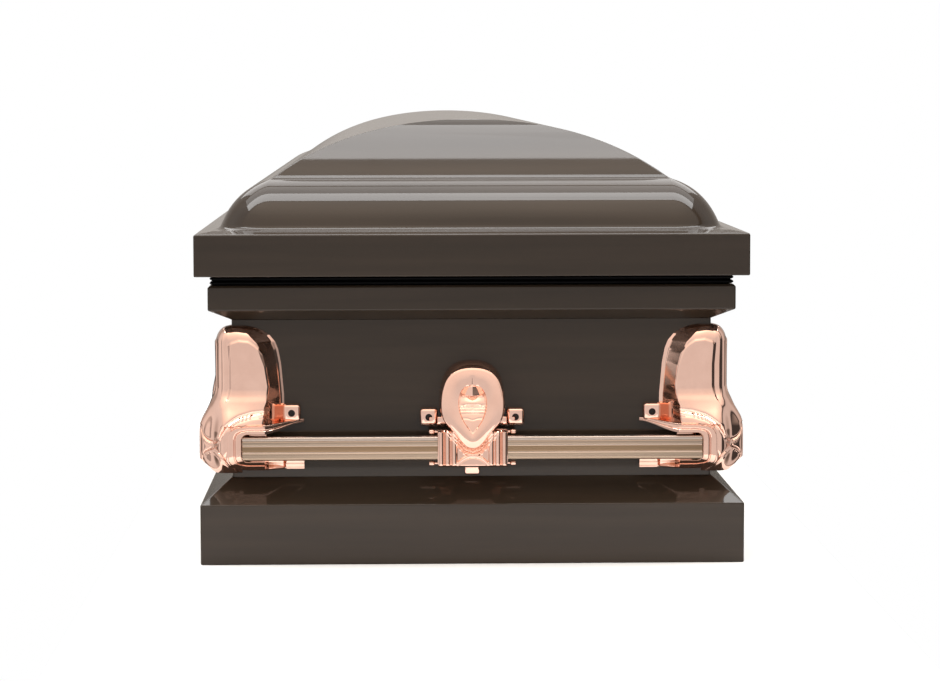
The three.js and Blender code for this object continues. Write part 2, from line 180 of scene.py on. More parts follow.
def flat_panel_shading(piece):
    """Smooth shading that keeps wide panels true right up to their rounded edges."""
    smooth_shading(piece)
    apply_modifier(piece, "WEIGHTED_NORMAL", keep_sharp=True)


def give_sheet_thickness(piece, even=True):
    apply_modifier(piece, "SOLIDIFY", thickness=SHEET, offset=-1, use_even_offset=even)
    flat_panel_shading(piece)


def rounded_profile(corners, steps=4):
    """Corner points as (inset, height, rounding), with each rounding drawn as a short curve."""
    line = [Vector(corners[0][:2])]
    for before, (inset, height, rounding), after in zip(corners, corners[1:], corners[2:]):
        corner = Vector((inset, height))
        start = corner + (Vector(before[:2]) - corner).normalized() * rounding
        stop = corner + (Vector(after[:2]) - corner).normalized() * rounding
        for step in range(steps + 1):
            k = step / steps
            line.append(start.lerp(corner, k).lerp(corner.lerp(stop, k), k))
    line.append(Vector(corners[-1][:2]))
    return line


def swept_sheet(name, levels, corner_radius, corner_segments=CORNER_SEGMENTS):
    """A sheet drawn up round the casket: a rectangle of edges, extruded level by level, corners rounded."""
    clear_selection()
    bpy.ops.mesh.primitive_plane_add(size=2)
    piece = bpy.context.object
    piece.name = name
    bpy.ops.object.mode_set(mode="EDIT")
    bpy.ops.mesh.delete(type="ONLY_FACE")
    bpy.ops.mesh.select_all(action="SELECT")
    half_x, half_y, height = levels[0]
    bpy.ops.transform.resize(value=(half_x, half_y, 1), center_override=(0, 0, 0))
    bpy.ops.transform.translate(value=(0, 0, height))
    for (x0, y0, z0), (x1, y1, z1) in zip(levels, levels[1:]):
        bpy.ops.mesh.extrude_edges_move(TRANSFORM_OT_translate={"value": (0, 0, z1 - z0)})
        bpy.ops.transform.resize(value=(x1 / x0, y1 / y0, 1), center_override=(0, 0, z1))
    bpy.ops.mesh.select_all(action="SELECT")
    bpy.ops.mesh.remove_doubles(threshold=1e-5)
    bpy.ops.mesh.normals_make_consistent(inside=False)

    def on_corner(a, b):
        climbs = abs(a.z - b.z) > SAME_PLACE
        slants = abs(a.x - b.x) > SAME_PLACE and abs(a.y - b.y) > SAME_PLACE
        return climbs or slants

    select_edges(on_corner)
    bpy.ops.mesh.bevel(
        offset=corner_radius, segments=corner_segments, profile=0.5, affect="EDGES", clamp_overlap=False)
    bpy.ops.object.mode_set(mode="OBJECT")
    return piece


def band_levels(profile, half_x, half_y):
    return [(half_x - inset, half_y - inset, height) for inset, height in profile]


def bent_grid(name, columns, rows, place, closed=True):
    """A grid bent over a form: place gives the point for a column share and a row share."""
    clear_selection()
    bpy.ops.mesh.primitive_grid_add(x_subdivisions=columns, y_subdivisions=rows, size=1)
    piece = bpy.context.object
    piece.name = name
    for vertex in piece.data.vertices:
        vertex.co = place(round(vertex.co.x + 0.5, 6), round(vertex.co.y + 0.5, 6))
    bpy.ops.object.mode_set(mode="EDIT")
    bpy.ops.mesh.select_all(action="SELECT")
    bpy.ops.mesh.remove_doubles(threshold=2e-6)
    bpy.ops.mesh.select_all(action="SELECT")
    if closed:
        bpy.ops.mesh.fill_holes(sides=0)
    bpy.ops.mesh.select_all(action="SELECT")
    bpy.ops.mesh.normals_make_consistent(inside=False)
    bpy.ops.object.mode_set(mode="OBJECT")
    return piece


def lofted_sheet(name, levels, corner_steps):
    """A sheet through rectangles at rising levels, each with its half sizes, height and corner radius."""
    count = 4 * (corner_steps + 1)

    def place(share, rise):
        half_x, half_y, height, radius = levels[round(rise * (len(levels) - 1))]
        quarter, step = divmod(round(share * count) % count, corner_steps + 1)
        angle = math.pi * (1 + (quarter + step / corner_steps) / 2)
        middle_x = (half_x - radius) * (1 if quarter in (1, 2) else -1)
        middle_y = (half_y - radius) * (1 if quarter in (2, 3) else -1)
        return Vector((middle_x + radius * math.cos(angle), middle_y + radius * math.sin(angle), height))

    return bent_grid(name, count, len(levels) - 1, place, closed=False)


def join(name, pieces):
    make_active(pieces[0])
    for piece in pieces[1:]:
        piece.select_set(True)
    bpy.ops.object.join()
    pieces[0].name = name
    return pieces[0]


def placed_copy(source, name, placing):
    """A copy with a mesh of its own, moved and turned to its place on the casket."""
    copy = source.copy()
    copy.data = source.data.copy()
    copy.name = name
    bpy.context.collection.objects.link(copy)
    copy.data.transform(placing)
    return copy


def finish_piece(piece, material, slot, *nodes):
    piece.data.materials.clear()
    piece.data.materials.append(material)
    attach(piece, "root")
    if nodes:
        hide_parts(*nodes)


# Materials

# Bar tones: the pale ones paint highlights, and the upper ones are darker, shaded copies of the lower ones
RIB = (0.40, 0.297, 0.220)
GROOVE_HIGHLIGHT = (0.54, 0.44, 0.38)
UPPER_RIB_SHADED = (0.345, 0.260, 0.197)
UPPER_SHADED_HIGHLIGHT = (0.45, 0.37, 0.32)
MIDDLE_BAND = (0.275, 0.182, 0.112)
# Tones of the bar from its lower edge to its upper one; pale stripes at the grooves and along the top are
# painted highlights, the upper tones are darker, shaded copies of the lower ones, and the middle band is
# darker
BAR_BANDS = ((0.0, RIB), (0.29, RIB), (0.32, GROOVE_HIGHLIGHT), (0.35, GROOVE_HIGHLIGHT), (0.37, MIDDLE_BAND), (0.58, MIDDLE_BAND),
             (0.60, UPPER_SHADED_HIGHLIGHT), (0.63, UPPER_SHADED_HIGHLIGHT), (0.66, UPPER_RIB_SHADED), (0.79, UPPER_RIB_SHADED), (0.83, UPPER_SHADED_HIGHLIGHT),
             (1.0, UPPER_SHADED_HIGHLIGHT))


def new_material(name, **values):
    material = bpy.data.materials.new(name)
    material.use_nodes = True
    shader = material.node_tree.nodes["Principled BSDF"]
    for socket, value in values.items():
        shader.inputs[socket.replace("_", " ")].default_value = value
    return material, material.node_tree, shader


def object_noise(tree, scale, stretch=(1, 1, 1), detail=4):
    place = tree.nodes.new("ShaderNodeTexCoord")
    mapping = tree.nodes.new("ShaderNodeMapping")
    mapping.inputs["Scale"].default_value = stretch
    noise = tree.nodes.new("ShaderNodeTexNoise")
    noise.inputs["Scale"].default_value = scale
    noise.inputs["Detail"].default_value = detail
    tree.links.new(place.outputs["Object"], mapping.inputs["Vector"])
    tree.links.new(mapping.outputs["Vector"], noise.inputs["Vector"])
    return noise.outputs["Fac"]


def ramp(tree, factor, *stops):
    node = tree.nodes.new("ShaderNodeValToRGB")
    node.color_ramp.elements[0].position = stops[0][0]
    node.color_ramp.elements[0].color = (*stops[0][1], 1)
    node.color_ramp.elements[1].position = stops[-1][0]
    node.color_ramp.elements[1].color = (*stops[-1][1], 1)
    for position, colour in stops[1:-1]:
        node.color_ramp.elements.new(position).color = (*colour, 1)
    tree.links.new(factor, node.inputs["Fac"])
    return node.outputs["Color"]


def two_tones(tree, noise, dark, pale):
    """Colours for the lower and upper part of a noise."""
    return ramp(tree, noise, (0.3, dark), (0.7, pale))


def grey(value):
    return (value, value, value)


def axes(tree, coordinates):
    place = tree.nodes.new("ShaderNodeTexCoord")
    split = tree.nodes.new("ShaderNodeSeparateXYZ")
    tree.links.new(place.outputs[coordinates], split.inputs["Vector"])
    return split.outputs["X"], split.outputs["Y"], split.outputs["Z"]


def feed(tree, socket, value):
    """Link another node's output to a socket, or set a plain value on it."""
    if isinstance(value, bpy.types.NodeSocket):
        tree.links.new(value, socket)
    else:
        socket.default_value = value


def arithmetic(tree, operation, first, second):
    node = tree.nodes.new("ShaderNodeMath")
    node.operation = operation
    feed(tree, node.inputs[0], first)
    feed(tree, node.inputs[1], second)
    return node.outputs["Value"]


def blend(tree, factor, first, second, kind="MIX"):
    """Mix of two colours; the mix node keeps its colour sockets after those of its other data types."""
    node = tree.nodes.new("ShaderNodeMix")
    node.data_type = "RGBA"
    node.blend_type = kind
    feed(tree, node.inputs["Factor"], factor)
    feed(tree, node.inputs[6], first)
    feed(tree, node.inputs[7], second)
    return node.outputs[2]


def share_of(tree, value, low, high):
    node = tree.nodes.new("ShaderNodeMapRange")
    node.inputs["From Min"].default_value = low
    node.inputs["From Max"].default_value = high
    tree.links.new(value, node.inputs["Value"])
    return node.outputs["Result"]


def add_bump(tree, shader, height, strength, distance):
    node = tree.nodes.new("ShaderNodeBump")
    node.inputs["Strength"].default_value = strength
    node.inputs["Distance"].default_value = distance
    tree.links.new(height, node.inputs["Height"])
    tree.links.new(node.outputs["Normal"], shader.inputs["Normal"])


def bronze_paint():
    """Dark bronze-brown enamel: a faintly brushed ground under a deep clear gloss with a slight ripple."""
    material, tree, shader = new_material(
        "bronze_paint", Metallic=0.0, IOR=1.45, Specular_IOR_Level=0.05,
        Coat_Weight=1.0, Coat_Roughness=0.035, Coat_IOR=1.34)
    streaks = object_noise(tree, scale=60, stretch=(0.06, 0.06, 1), detail=6)
    tone = two_tones(tree, streaks, (0.0258, 0.0172, 0.0111), (0.0332, 0.0222, 0.0145))
    tree.links.new(tone, shader.inputs["Base Color"])
    clouds = object_noise(tree, scale=9, detail=3)
    gloss = two_tones(tree, clouds, grey(0.40), grey(0.52))
    tree.links.new(gloss, shader.inputs["Roughness"])
    ripple = object_noise(tree, scale=220, detail=2)
    add_bump(tree, shader, ripple, strength=0.02, distance=0.0003)
    return material


def rose_plating():
    """Polished rose-gold plating over a casting, with faint swells and polishing haze."""
    material, tree, shader = new_material("rose_plating", Metallic=1.0)
    haze = object_noise(tree, scale=45, detail=5)
    tone = two_tones(tree, haze, (0.82, 0.515, 0.405), (0.88, 0.565, 0.45))
    tree.links.new(tone, shader.inputs["Base Color"])
    gloss = two_tones(tree, haze, grey(0.05), grey(0.10))
    tree.links.new(gloss, shader.inputs["Roughness"])
    swells = object_noise(tree, scale=120, detail=2)
    add_bump(tree, shader, swells, strength=0.05, distance=0.0006)
    return material


def satin_bar():
    """Champagne plating drawn along the bar: polished ribs, a darker middle band, highlights painted along
    the grooves and the top, shade painted over the upper half, and fine lines.
    """
    material, tree, shader = new_material("satin_bar", Metallic=1.0)
    height = axes(tree, "Object")[2]
    # The bands paint highlights along the grooves and the top edge, and shade over the upper ribs
    bands = ramp(tree, share_of(tree, height, BAR_LOW.z, BAR_HIGH.z), *BAR_BANDS)
    lines = object_noise(tree, scale=500, stretch=(0.002, 0.002, 1), detail=2)
    shade = two_tones(tree, lines, grey(0.93), grey(1.0))
    tone = blend(tree, 1.0, bands, shade, "MULTIPLY")
    tree.links.new(tone, shader.inputs["Base Color"])
    gloss = two_tones(tree, lines, grey(0.26), grey(0.32))
    tree.links.new(gloss, shader.inputs["Roughness"])
    return material


def seal_rubber():
    material, tree, shader = new_material("seal_rubber", Metallic=0.0, Specular_IOR_Level=0.06)
    grain = object_noise(tree, scale=400, detail=3)
    # Near-black tones: the rubber's own black, deepened further as painted shade of the gap under the lid's
    # rim
    tone = two_tones(tree, grain, (0.0012, 0.0012, 0.0014), (0.0024, 0.0024, 0.0028))
    tree.links.new(tone, shader.inputs["Base Color"])
    gloss = two_tones(tree, grain, grey(0.5), grey(0.7))
    tree.links.new(gloss, shader.inputs["Roughness"])
    return material


# Painted box and lid

def make_base(material):
    shoulder = BASE_X - WALL_X - SHEET
    profile = rounded_profile((
        (BASE_FLANGE, 0, 0), (0, 0, FOLD), (0, BASE_BAND_TOP, FOLD / 2), (shoulder, BASE_SLOPE_TOP, 0)))
    levels = band_levels(profile, BASE_X, BASE_Y)
    piece = swept_sheet("base_shell", levels, FOLD)
    give_sheet_thickness(piece)
    finish_piece(piece, material, "bronze_paint", *[f"base_molding_{side}" for side in SIDES])


def make_walls(material):
    """Walls and bottom: a tray of sheet, open at the top."""
    foot_x = WALL_X - BOTTOM_MARGIN
    foot_y = WALL_Y - BOTTOM_MARGIN
    levels = [(foot_x, foot_y, BOTTOM_Z), (WALL_X, WALL_Y, BOTTOM_Z), (WALL_X, WALL_Y, WALL_TOP)]
    piece = swept_sheet("box_panels", levels, FOLD)
    make_active(piece)
    bpy.ops.object.mode_set(mode="EDIT")
    select_edges(lambda a, b: max(a.z, b.z) < BOTTOM_Z + FOLD and max(abs(a.x), abs(b.x)) < foot_x + FOLD
                 and max(abs(a.y), abs(b.y)) < foot_y + FOLD)
    bpy.ops.mesh.edge_face_add()
    bpy.ops.mesh.select_all(action="SELECT")
    bpy.ops.mesh.normals_make_consistent(inside=False)
    bpy.ops.object.mode_set(mode="OBJECT")
    give_sheet_thickness(piece)
    nodes = [f"wall_panel_{side}" for side in SIDES]
    finish_piece(piece, material, "bronze_paint", "bottom_panel", *nodes)


def make_body_molding(material):
    depth = MOLDING_X - WALL_X
    foot = WALL_TOP + GAP
    profile = rounded_profile((
        (depth + SHEET, foot, 0), (depth, foot, SHEET / 2), (0, MOLDING_SLOPE_TOP, FOLD),
        (0, MOLDING_BAND_TOP, FOLD / 2), (MOLDING_LIP, MOLDING_TOP, FOLD / 2),
        (MOLDING_FLANGE, MOLDING_TOP, 0)))
    levels = band_levels(profile, MOLDING_X, MOLDING_Y)
    piece = swept_sheet("body_molding_shell", levels, FOLD)
    give_sheet_thickness(piece)
    finish_piece(piece, material, "bronze_paint", *[f"body_molding_{side}" for side in SIDES])


def make_gasket(material):
    """Black seal: a double-lipped strip, rounded above and below a shallow middle groove."""
    low = MOLDING_TOP + GAP
    high = RIM_BOTTOM - GAP
    tall = high - low
    face = []
    for step in range(GASKET_STEPS + 1):
        k = step / GASKET_STEPS
        lip = abs(math.sin(2 * math.pi * k)) ** LIP_FULLNESS
        face.append(Vector((GASKET_LIP * (1 - lip), low + tall * k)))
    back = [Vector((GASKET_WIDTH, height)) for height in (low, high)]
    profile = [back[0], *face, back[1], back[0]]
    levels = band_levels(profile, GASKET_X, GASKET_Y)
    piece = swept_sheet("gasket_strip", levels, GASKET_CORNER, corner_segments=4)
    smooth_shading(piece, degrees=50)
    finish_piece(piece, material, "seal_rubber", "gasket")


def crown_half_width(height):
    """Half width of the crown's bow, whose height falls with the square and the fourth power of the width."""
    drop = (CROWN_TOP - height) / (CROWN_TOP - OGEE_TOP)
    plain = 1 - CROWN_FLATNESS
    across = (math.sqrt(plain ** 2 + 4 * CROWN_FLATNESS * drop) - plain) / (2 * CROWN_FLATNESS)
    return (RIM_X - OGEE_DEPTH) * math.sqrt(max(across, 0))


def eased(levels, corner, reach, steps):
    """Levels with a fillet drawn in place of the fold at one of them."""
    before, fold, after = (Vector(levels[corner + step]) for step in (-reach, 0, reach))
    fillet = []
    for step in range(steps + 1):
        k = step / steps
        fillet.append(tuple(before.lerp(fold, k).lerp(fold.lerp(after, k), k)))
    return levels[:corner - reach] + fillet + levels[corner + reach + 1:]


def lid_levels():
    """Rim and ledge have square corners, the ogee turns round the crown's corners, its hips are sharp."""
    profile = rounded_profile((
        (RIM_FLANGE, RIM_BOTTOM, 0), (0, RIM_BOTTOM, FOLD), (0, RIM_TOP, RIM_ROUND),
        (LEDGE_DEPTH, LEDGE_TOP, LEDGE_FILLET), (*OGEE_FOOT, 0)))[:-1]
    start = Vector((LEDGE_DEPTH, LEDGE_TOP))
    pull = Vector(OGEE_PULL)
    stop = Vector((OGEE_DEPTH, OGEE_TOP))
    for step in range(1, OGEE_STEPS + 1):
        k = step / OGEE_STEPS
        point = start.lerp(pull, k).lerp(pull.lerp(stop, k), k)
        if point.y > profile[-1].y + LEAST_RISE:
            profile.append(point)
    levels = []
    for inset, height in profile:
        on_ogee = height > RIM_TOP and inset > LEDGE_DEPTH - 1.1 * LEDGE_FILLET
        radius = max(OGEE_DEPTH - inset, CROWN_HIP) if on_ogee else FOLD
        half_x = RIM_X - inset
        half_y = RIM_Y - inset
        if on_ogee and levels[-1][3] == FOLD:
            levels.append((half_x + 3 * GAP, half_y + 3 * GAP, height - GAP / 2, FOLD))
            levels.append((half_x + 2 * GAP, half_y + 2 * GAP, height - GAP / 3, radius + 2 * GAP))
        levels.append((half_x, half_y, height, radius))
    crease = len(levels) - 1
    for step in range(1, CROWN_STEPS + 1):
        k = step / CROWN_STEPS
        height = OGEE_TOP + (CROWN_TOP - OGEE_TOP) * (2 * k - k * k)
        inset = (1 - k) ** 2 * OGEE_DEPTH + 2 * k * (1 - k) * CREST_PULL + k * k * CREST_INSET
        half_x = max(crown_half_width(height), RIDGE_HALF_WIDTH)
        levels.append((half_x, RIM_Y - inset, height, min(CROWN_HIP, half_x)))
    return eased(levels, crease, CREASE_REACH, CREASE_STEPS)


def make_lid(material):
    piece = lofted_sheet("lid_shell", lid_levels(), LID_CORNER_STEPS)
    give_sheet_thickness(piece, even=False)
    finish_piece(piece, material, "bronze_paint", "lid")


# Carrying bars

BAR_TALL = BAR_HIGH.z - BAR_LOW.z
BAR_THICK = BAR_HIGH.y - BAR_LOW.y
BAR_MIDDLE_Z = (BAR_HIGH.z + BAR_LOW.z) / 2
BAR_STANDOFF = -(BAR_HIGH.y + BAR_LOW.y) / 2 - WALL_Y
BAR_ROUND = 0.004
BAR_EDGE = 0.0008
BAR_STEPS = 120
# Grooves along the bar's faces, by their share of its height
BAR_GROOVES = (0.33, 0.62, 0.81)
GROOVE_DEPTH = 0.0010
GROOVE_WIDTH = 0.0009


def bar_section(share):
    """Outline of the bar: two grooved faces joined by rounded edges."""
    side = 1 if share < 0.5 else -1
    k = (share * 2) % 1
    if share in (0.5, 1.0):
        k = 0
        side = -1 if share == 0.5 else 1
    height = (k - 0.5) * BAR_TALL
    edge = max(abs(height) - (BAR_TALL / 2 - BAR_ROUND), 0) / BAR_ROUND
    depth = BAR_THICK / 2 - BAR_ROUND + BAR_ROUND * math.sqrt(max(1 - edge * edge, 0))
    for place in BAR_GROOVES:
        depth -= GROOVE_DEPTH * bump((k - place) * BAR_TALL, GROOVE_WIDTH)
    return side * depth, side * height


def make_bar(name, length, standoff, turn, material):
    def place(share, along):
        depth, height = bar_section(share)
        return Vector(((along - 0.5) * length, -standoff - depth, BAR_MIDDLE_Z + height))

    piece = bent_grid(f"{name}_fluted", BAR_STEPS, 2, place)
    piece.data.transform(Matrix.Rotation(turn, 4, "Z"))
    sharp = math.radians(60)
    apply_modifier(piece, "BEVEL", width=BAR_EDGE, segments=2, limit_method="ANGLE", angle_limit=sharp)
    smooth_shading(piece, degrees=40)
    finish_piece(piece, material, "satin_bar", name)


def make_bars(material):
    for quarter, side in enumerate(SIDES):
        low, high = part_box(f"bar_{side}")
        on_end = quarter % 2 == 0
        length = (high.x - low.x) if on_end else (high.y - low.y)
        standoff = (WALL_Y if on_end else WALL_X) + BAR_STANDOFF
        make_bar(f"bar_{side}", length, standoff, quarter * math.pi / 2, material)


# Blocks and screw bosses shared by castings and lugs

BOSS_SIDE = 0.023
BOSS_DEPTH = 0.013
BOSS_ROUND = 0.0045
BOSS_HOLE = 0.0045
DRILL_LENGTH = 0.04


def rounded_block(low, high, rounding, segments=3):
    clear_selection()
    bpy.ops.mesh.primitive_cube_add(size=1)
    block = bpy.context.object
    low = Vector(low)
    high = Vector(high)
    block.data.transform(Matrix.Translation((low + high) / 2) @ Matrix.Diagonal((*(high - low), 1)))
    apply_modifier(block, "BEVEL", width=rounding, segments=segments)
    return block


def screw_boss(x, y, z, facing):
    """Square boss on a wall, edges rounded, with a round hole; facing turns it about the upright."""
    half = BOSS_SIDE / 2
    boss = rounded_block((-half, GAP - BOSS_DEPTH, -half), (half, -GAP, half), BOSS_ROUND, segments=5)
    clear_selection()
    bpy.ops.mesh.primitive_cylinder_add(vertices=32, radius=BOSS_HOLE, depth=DRILL_LENGTH)
    drill = bpy.context.object
    drill.data.transform(Matrix.Translation((0, -BOSS_DEPTH, 0)) @ Matrix.Rotation(math.pi / 2, 4, "X"))
    apply_modifier(boss, "BOOLEAN", object=drill, operation="DIFFERENCE", solver="EXACT")
    bpy.data.objects.remove(drill)
    boss.data.transform(Matrix.Translation((x, y, z)) @ Matrix.Rotation(facing, 4, "Z"))
    return boss


# Corner castings, drawn at the front left corner with the upright wall corner as the origin

LEG_TOP = 0.306
LEG_REACH = 0.019
HEAD_TALL = 0.023
FLARE_TOP = 0.228
FLARE_BOTTOM = 0.168
FOOT_REACH = 0.0435
FOOT_BOTTOM = 0.117
FOOT_UNDERCUT = 0.030
FOOT_TUCK = 0.022
LEDGE_LOW = 0.1775
LEDGE_HIGH = 0.1795
SOCKET_START = 0.014
SOCKET_END = 0.093
SOCKET_LIP_END = 0.043
SOCKET_TAB = 0.067
SOCKET_BACK = 0.003
SOCKET_FLOOR = 0.133
SOCKET_ROOF = 0.1685
SOCKET_CORNER = 0.007
SOCKET_FULL = FOOT_REACH - 0.0005
# Stand-off of the socket's front edge below and above the bar, by distance from the wall corner
FLOOR_FRONT = ((SOCKET_LIP_END, SOCKET_FULL), (SOCKET_TAB, 0.016), (SOCKET_TAB + 0.002, 0.012))
ROOF_FRONT = ((SOCKET_LIP_END, SOCKET_FULL), (SOCKET_END, SOCKET_BACK + 0.002))
# Edge of the casting on the wall, its front edge, the petal's right edge and the valley beside the petal:
# distance from the wall corner by height
OUTER_EDGE = ((0.180, 0.068), (0.217, 0.0675), (0.257, 0.064), (0.275, 0.0605), (0.285, 0.0565),
              (0.294, 0.049), (0.300, 0.040), (0.304, 0.029), (0.306, 0.018))
PETAL_EDGE = ((0.180, 0.040), (0.202, 0.043), (0.209, 0.0457), (0.228, 0.0485), (0.254, 0.0445),
              (0.270, 0.0395), (0.285, 0.031), (0.296, 0.022), (0.306, 0.010))
PETAL_RIGHT = ((0.180, 0.0395), (0.202, 0.0425), (0.209, 0.045), (0.228, 0.0475), (0.254, 0.0435),
               (0.277, 0.0355), (0.290, 0.024))
VALLEY = ((0.181, -0.023), (0.203, -0.009), (0.213, -0.004), (0.227, -0.0012), (0.255, -0.0012),
          (0.29, -0.004))
# Top of the petal and lower edge of the tongue: height by distance from the wall corner
PETAL_TOP = ((-0.004, 0.280), (0.0, 0.2845), (0.010, 0.2878), (0.022, 0.2865), (0.030, 0.2815),
             (0.036, 0.2755))
TONGUE_EDGE = ((-0.0235, 0.1595), (-0.0205, 0.1603), (-0.0175, 0.1628), (-0.0145, 0.1675), (-0.0118, 0.1730),
               (-0.006, 0.1815), (0.0028, 0.1880), (0.0105, 0.1922), (0.0257, 0.1962), (0.044, 0.1975))
TOE_TOP = 0.1485
TOE_MIDDLE = -0.0245
TOE_ROUND = 0.006
TOE_FALL = 1.15
PETAL_RISE = 0.0016
VALLEY_SINK = 0.0009
VALLEY_WIDTH = 0.0030
TONGUE_RISE = 0.0010
TOE_RISE = 0.0018
# Heights between which each part of the ornament fades, and distances over which its edges slope
PETAL_FOOT = (0.196, 0.222)
VALLEY_HEAD = (0.283, 0.298)
TONGUE_HEAD = (0.208, 0.218)
TOE_HEAD = (0.150, 0.154)
PETAL_SLOPE = (-0.0020, 0.0026)
EDGE_SLOPE = (-0.001, 0.003)
# Lines that follow the tongue's and the toe's edge: distance outside the edge, half width, height
TONGUE_LINES = ((0.0020, 0.0015, -0.0015), (0.0050, 0.0014, 0.0007), (0.0078, 0.0012, -0.0008))
TOE_LINES = ((0.0014, 0.0013, -0.0016), (-0.0042, 0.0008, -0.0009))
# Shares of a half's plan where the knee on the wall, the sloped edge and the flat face end
KNEE_END = 0.04
EDGE_END = 0.16
FACE_END = 0.60
# Plan of a half as shares of its reach: face and ridge at the foot, set-back of the flare, corner radii
FOOT_FACE = 0.86
FOOT_RIDGE = 0.93
FLARE_SETBACK = 0.18
LEG_CORNER = 1.06
FOOT_CORNER = 0.77
RIDGE_START = 0.002
KNEE_WIDTH = 0.005
KNEE_RISE = 0.0022
PETAL_LIFT = 0.0015
FACE_SWELL = 0.0012
# Share of the whole plan, at each end, that lies against the wall
WALL_SHARE = 0.03
NORMAL_STEP = 0.004
THINNEST = 0.0012
PLATE_LENGTH = 0.030
PLATE_MARGIN = 0.006
PLATE_ROUND = 0.0008
CORNER_BOSS_ALONG = 0.077
CORNER_BOSS_Z = 0.193
# Steps of the grids round and up the casting, and along and round its sockets
SKIN_STEPS = (220, 150)
SOCKET_STEPS = (90, 56)
SWAP_X_AND_Y = Matrix(((0, 1, 0, 0), (1, 0, 0, 0), (0, 0, 1, 0), (0, 0, 0, 1)))


def casting_reach(z):
    flare = 1 - smooth(FLARE_BOTTOM, FLARE_TOP, z)
    under = max(FOOT_BOTTOM + FOOT_UNDERCUT - z, 0) / FOOT_UNDERCUT
    return lerp(LEG_REACH, FOOT_REACH, flare) - FOOT_TUCK * under ** 2


def edge_lines(inside, lines):
    return sum(height * bump(inside + outside, width) for outside, width, height in lines)


def casting_relief(along, z):
    """Height of the cast ornament: petal beside its valley, the tongue's rim and the toe below it."""
    upper = smooth(*PETAL_FOOT, z)
    valley = along - through(VALLEY, z)
    sides = (valley, through(PETAL_RIGHT, z) - along, through(PETAL_TOP, along) - z)
    relief = PETAL_RISE * upper * smooth(*PETAL_SLOPE, min(sides))
    below_head = 1 - smooth(*VALLEY_HEAD, z)
    relief -= VALLEY_SINK * upper * below_head * bump(valley + VALLEY_WIDTH, VALLEY_WIDTH)
    tongue = z - through(TONGUE_EDGE, along)
    on_foot = 1 - smooth(*TONGUE_HEAD, z)
    relief += on_foot * (TONGUE_RISE * smooth(*EDGE_SLOPE, tongue) + edge_lines(tongue, TONGUE_LINES))
    toe = TOE_TOP - TOE_FALL * (math.hypot(along - TOE_MIDDLE, TOE_ROUND) - TOE_ROUND) - z
    low = 1 - smooth(*TOE_HEAD, z)
    return relief + low * (TOE_RISE * smooth(*EDGE_SLOPE, toe) + edge_lines(toe, TOE_LINES))


def casting_half(q, z):
    """Plan of one half of the casting at a height, from the wall (q = 0) to the corner's diagonal (q = 1)."""
    dome = max(z - (LEG_TOP - HEAD_TALL), 0) / HEAD_TALL
    reach = max(casting_reach(z) * math.sqrt(max(1 - dome ** 2, 0)), THINNEST)
    on_leg = smooth(LEDGE_LOW, LEDGE_HIGH, z)
    outer = lerp(SOCKET_START, through(OUTER_EDGE, z), on_leg)
    flare = smooth(LEG_REACH, FOOT_REACH, reach)
    leg_face = reach * (1 - FLARE_SETBACK * flare)
    face = lerp(FOOT_FACE * reach, leg_face, on_leg)
    wall_end = Vector((outer, -GAP))
    petal_edge = Vector((lerp(SOCKET_START, through(PETAL_EDGE, z), on_leg), -face))
    ridge_start = Vector((-RIDGE_START, -lerp(FOOT_RIDGE, 1.0, on_leg) * reach))
    knee = Vector((outer - KNEE_WIDTH * on_leg, -GAP - KNEE_RISE * on_leg))
    petal_edge.y -= PETAL_LIFT * on_leg
    if q < KNEE_END:
        return wall_end.lerp(knee, q / KNEE_END)
    if q < EDGE_END:
        return knee.lerp(petal_edge, (q - KNEE_END) / (EDGE_END - KNEE_END))
    if q < FACE_END:
        k = (q - EDGE_END) / (FACE_END - EDGE_END)
        swell = FACE_SWELL * math.sin(math.pi * k) * on_leg
        return petal_edge.lerp(ridge_start, k) + Vector((0, -swell))
    turn = math.pi / 4 * (q - FACE_END) / (1 - FACE_END)
    corner = lerp(LEG_CORNER, FOOT_CORNER, flare)
    radius = reach * lerp(1, corner, math.sin(2 * turn) ** 2)
    radius *= lerp(lerp(FOOT_RIDGE, 1.0, smooth(0, 0.4, turn)), 1.0, on_leg)
    offset = RIDGE_START * math.cos(2 * turn) ** 2
    return Vector((-math.sin(turn) * radius - offset, -math.cos(turn) * radius))


def casting_skin(share, rise):
    z = lerp(FOOT_BOTTOM, LEG_TOP, rise)
    if share <= WALL_SHARE or share >= 1 - WALL_SHARE:
        k = min(share, 1 - share) / WALL_SHARE
        spot = Vector((-GAP, -GAP)).lerp(casting_half(0, z), k)
    else:
        q = (min(share, 1 - share) - WALL_SHARE) / (0.5 - WALL_SHARE)
        spot = casting_half(q, z)
        if q > EDGE_END:
            run = casting_half(min(q + NORMAL_STEP, 1), z) - casting_half(q - NORMAL_STEP, z)
            outward = Vector((run.y, -run.x)).normalized()
            if outward.dot(Vector((-1, -1))) < 0:
                outward = -outward
            spot = spot + outward * casting_relief(spot.x, z)
    flat = spot if share < 0.5 else Vector((spot.y, spot.x))
    return Vector((flat.x, flat.y, z))


def socket_turn(middle_z, angle):
    out = Vector((math.cos(angle), math.sin(angle)))
    return Vector((SOCKET_START + SOCKET_CORNER, middle_z)) + out * SOCKET_CORNER, out


